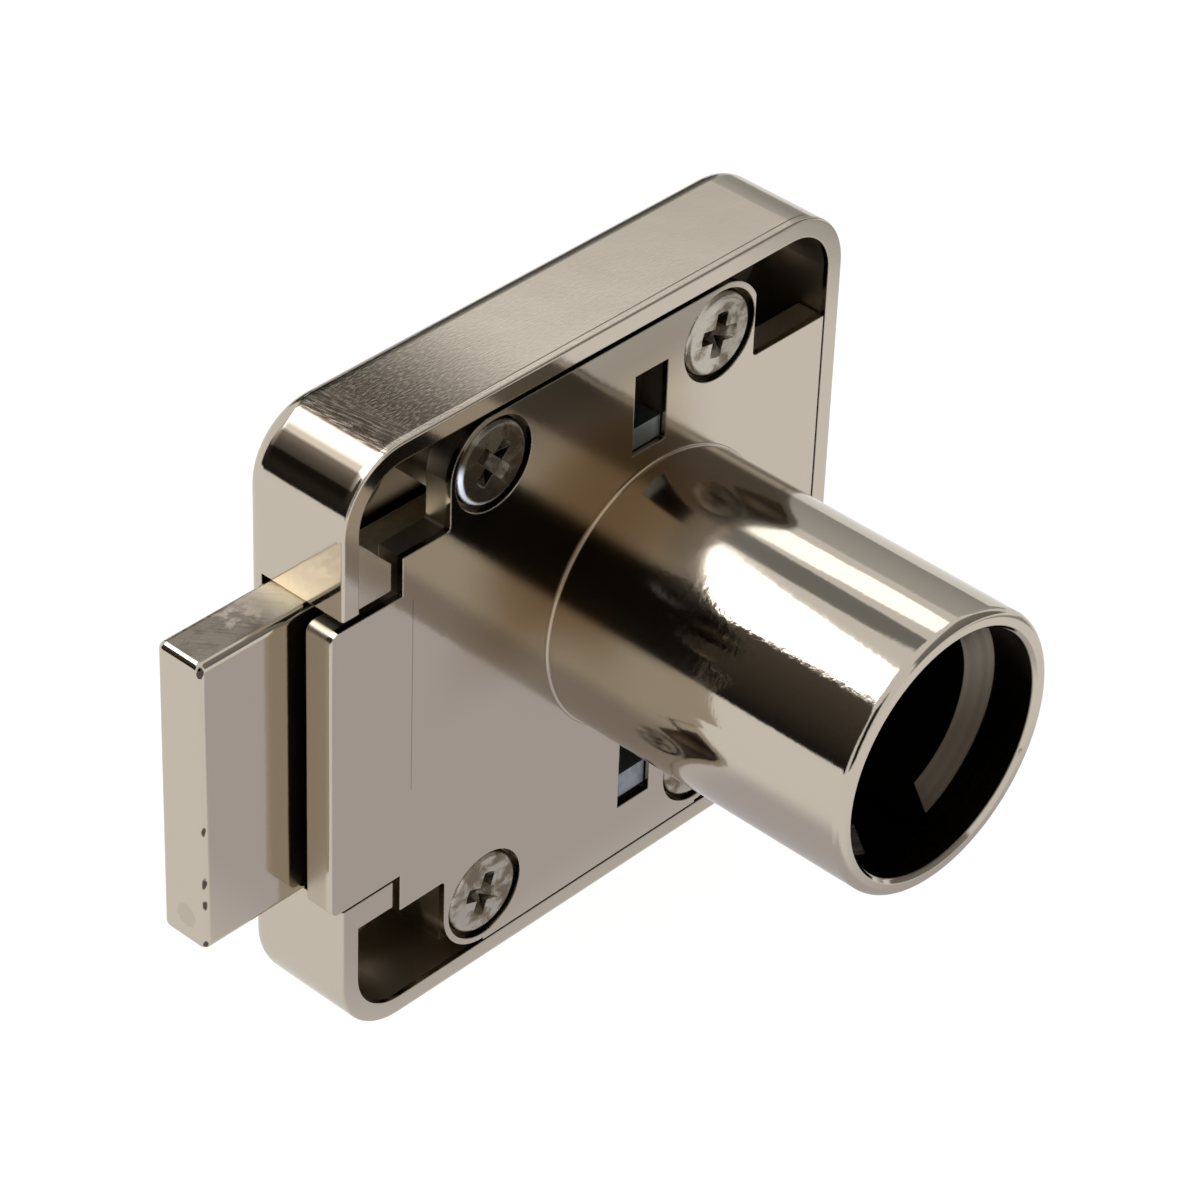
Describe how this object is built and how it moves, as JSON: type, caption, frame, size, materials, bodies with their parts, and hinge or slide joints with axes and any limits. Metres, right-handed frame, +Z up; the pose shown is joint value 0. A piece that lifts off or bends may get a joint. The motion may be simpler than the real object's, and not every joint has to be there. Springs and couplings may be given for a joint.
{
  "type": "cabinet door lock",
  "caption": "Square rim lock for a cabinet door: a tray case, a front plate with a tube for a cylinder core, and a flat bolt that a quarter turn draws in.",
  "frame": {"origin": "the tube's axis where it crosses the plane of the case's rim, which lies on the inside of the door", "axes": "+Z up, -Y along the tube through the door, the bolt leaves the case along -X"},
  "size_m": [0.048, 0.0298, 0.04],
  "materials": {
    "case_nickel": "nickel plate, mirror on the sides, fine grain on top",
    "plate_nickel": "nickel plate, mirror",
    "bolt_nickel": "nickel plate, mirror, worn edges",
    "bare_zinc": "dull casting",
    "steel": "plain steel",
    "blue_zinc": "bluish zinc plate",
    "screw_nickel": "nickel plate, satin"
  },
  "bodies": {
    "housing": {"case": "case_nickel", "front_plate": "plate_nickel", "driver_washer": "steel", "retaining_plate": "blue_zinc", "detent_spring": "steel", "cover_screws": "screw_nickel"},
    "driver": {"driver": "bare_zinc", "crank_pin": "steel"},
    "bolt": {"bolt": "bolt_nickel"}
  },
  "joints": [
    {"name": "driver_turn", "type": "hinge", "parent": "housing", "child": "driver", "pos_m": [0, 0, 0], "axis": [0, 1, 0], "range_deg": [0, 90]},
    {"name": "bolt_slide", "type": "slide", "parent": "housing", "child": "bolt", "axis": [1, 0, 0], "range_m": [0, 0.008], "deforming": ["detent_spring"]}
  ],
  "couplings": [
    {"joint": "driver_turn", "follows": "bolt_slide", "rad_per_m": 196.35}
  ]
}
